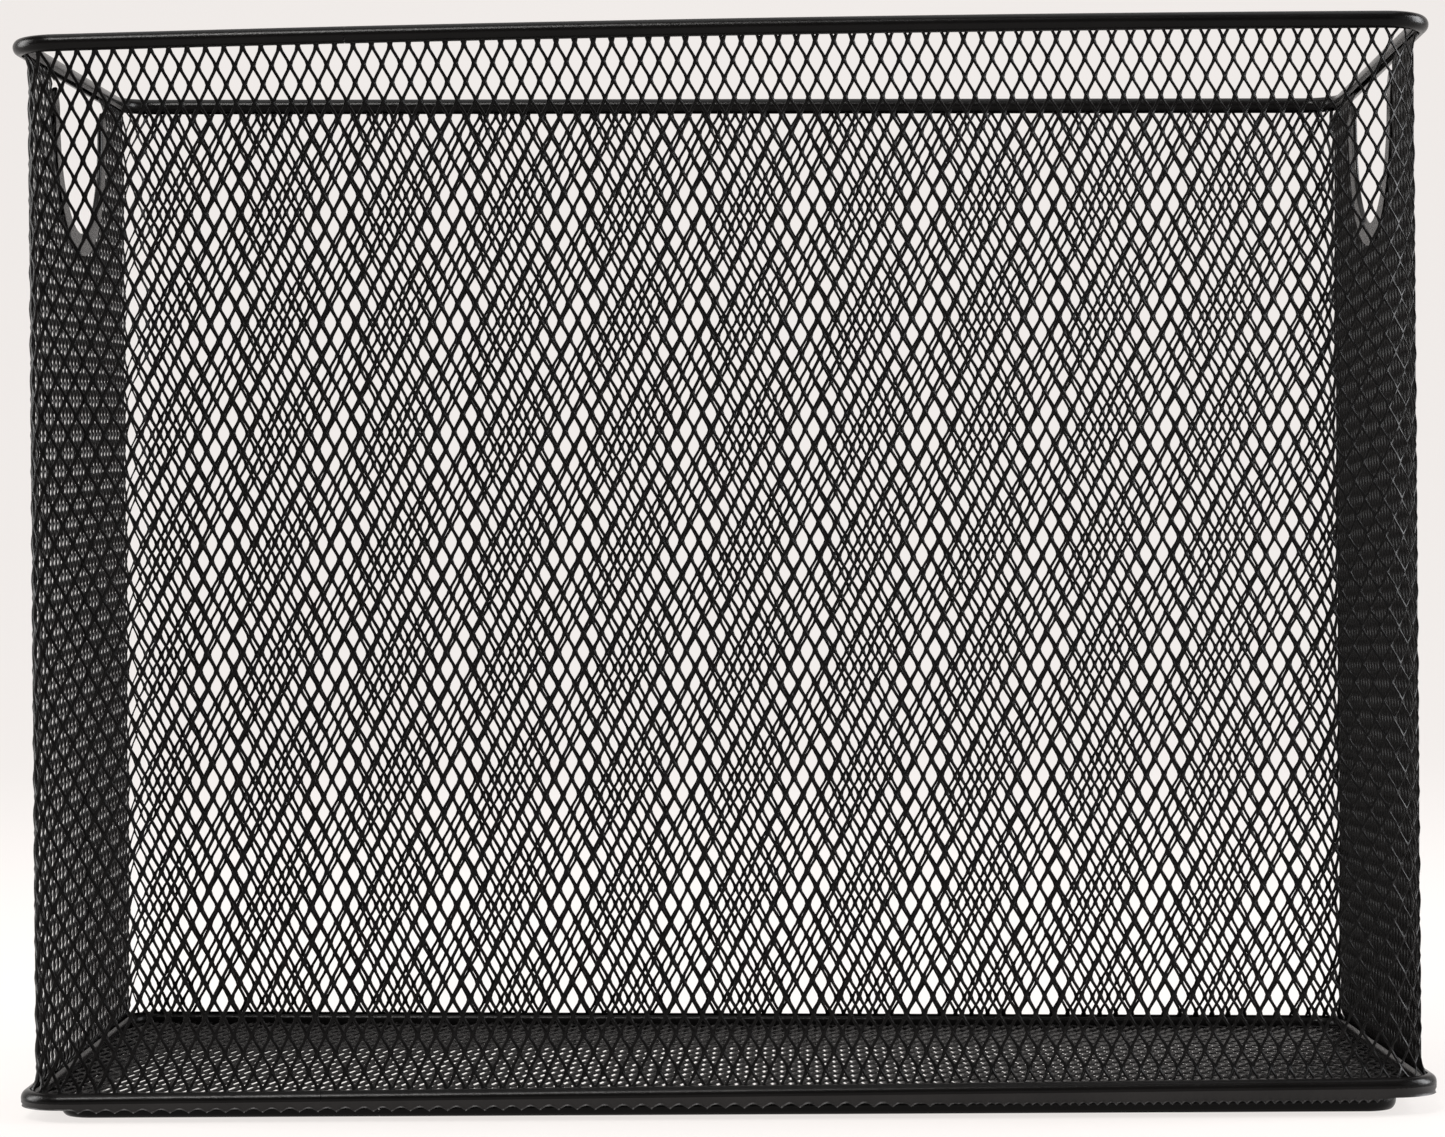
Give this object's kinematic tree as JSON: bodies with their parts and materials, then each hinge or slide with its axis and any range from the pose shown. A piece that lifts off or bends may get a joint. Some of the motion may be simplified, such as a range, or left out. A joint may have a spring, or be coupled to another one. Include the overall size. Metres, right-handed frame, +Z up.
{
  "type": "magazine file holder",
  "caption": "Open-top rectangular file box of expanded steel mesh with rolled rims, a mesh floor on a rolled base ring and a U-shaped handle cut-out in each narrow wall.",
  "frame": {"origin": "centre of the footprint, on the surface that the box stands on", "axes": "+X along the length, +Y from the wide front wall to the wide rear wall, +Z up to the open top"},
  "size_m": [0.318, 0.134, 0.243],
  "materials": {
    "mesh_black": "satin black powder coat",
    "rim_black": "satin black powder coat",
    "trim_black": "satin black powder coat"
  },
  "bodies": {
    "root": {"mesh_wall": "mesh_black", "mesh_floor": "mesh_black", "top_rim": "rim_black", "bottom_rim": "rim_black", "base_ring": "rim_black", "left_handle_trim": "trim_black", "right_handle_trim": "trim_black"}
  },
  "joints": []
}
